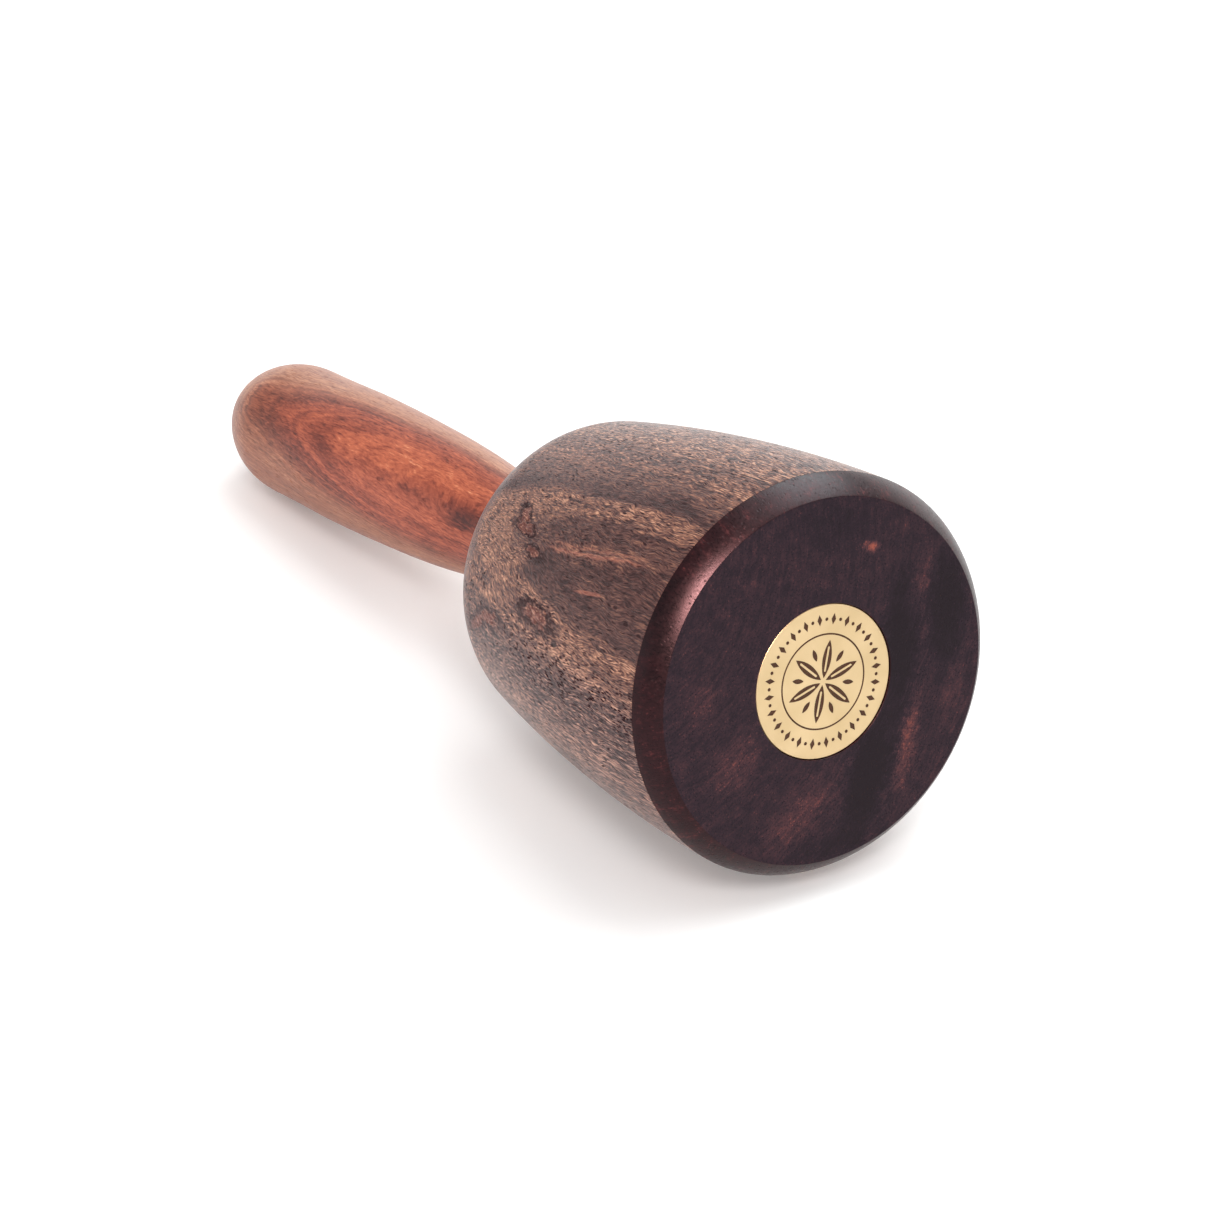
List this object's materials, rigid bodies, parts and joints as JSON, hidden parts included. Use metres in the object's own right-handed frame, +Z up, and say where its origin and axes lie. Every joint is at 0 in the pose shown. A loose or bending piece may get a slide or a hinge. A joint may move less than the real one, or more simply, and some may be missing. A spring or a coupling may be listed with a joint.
{
  "type": "wooden mallet",
  "caption": "Round turned carver's mallet: a heavy barrel-shaped head on a swelling wooden handle, with a brass disc let into the striking face.",
  "frame": {"origin": "middle of the bottom of the lying mallet's box, on the surface that the head's side and the butt of the handle rest on", "axes": "+X towards the striking face, +Z up; the turning axis lies in the XZ plane and climbs 8.25 degrees from the butt to the striking face"},
  "size_m": [0.2524, 0.09, 0.0927],
  "materials": {
    "head_wood": "satin",
    "handle_wood": "satin",
    "wedge_wood": "matte",
    "disc_brass": "satin",
    "adhesive": "matte",
    "engraving_enamel": "satin"
  },
  "bodies": {
    "root": {"head": "head_wood", "handle": "handle_wood", "tenon_wedge": "wedge_wood", "face_disc": "disc_brass", "disc_adhesive": "adhesive", "disc_engraving_fill": "engraving_enamel"}
  },
  "joints": []
}
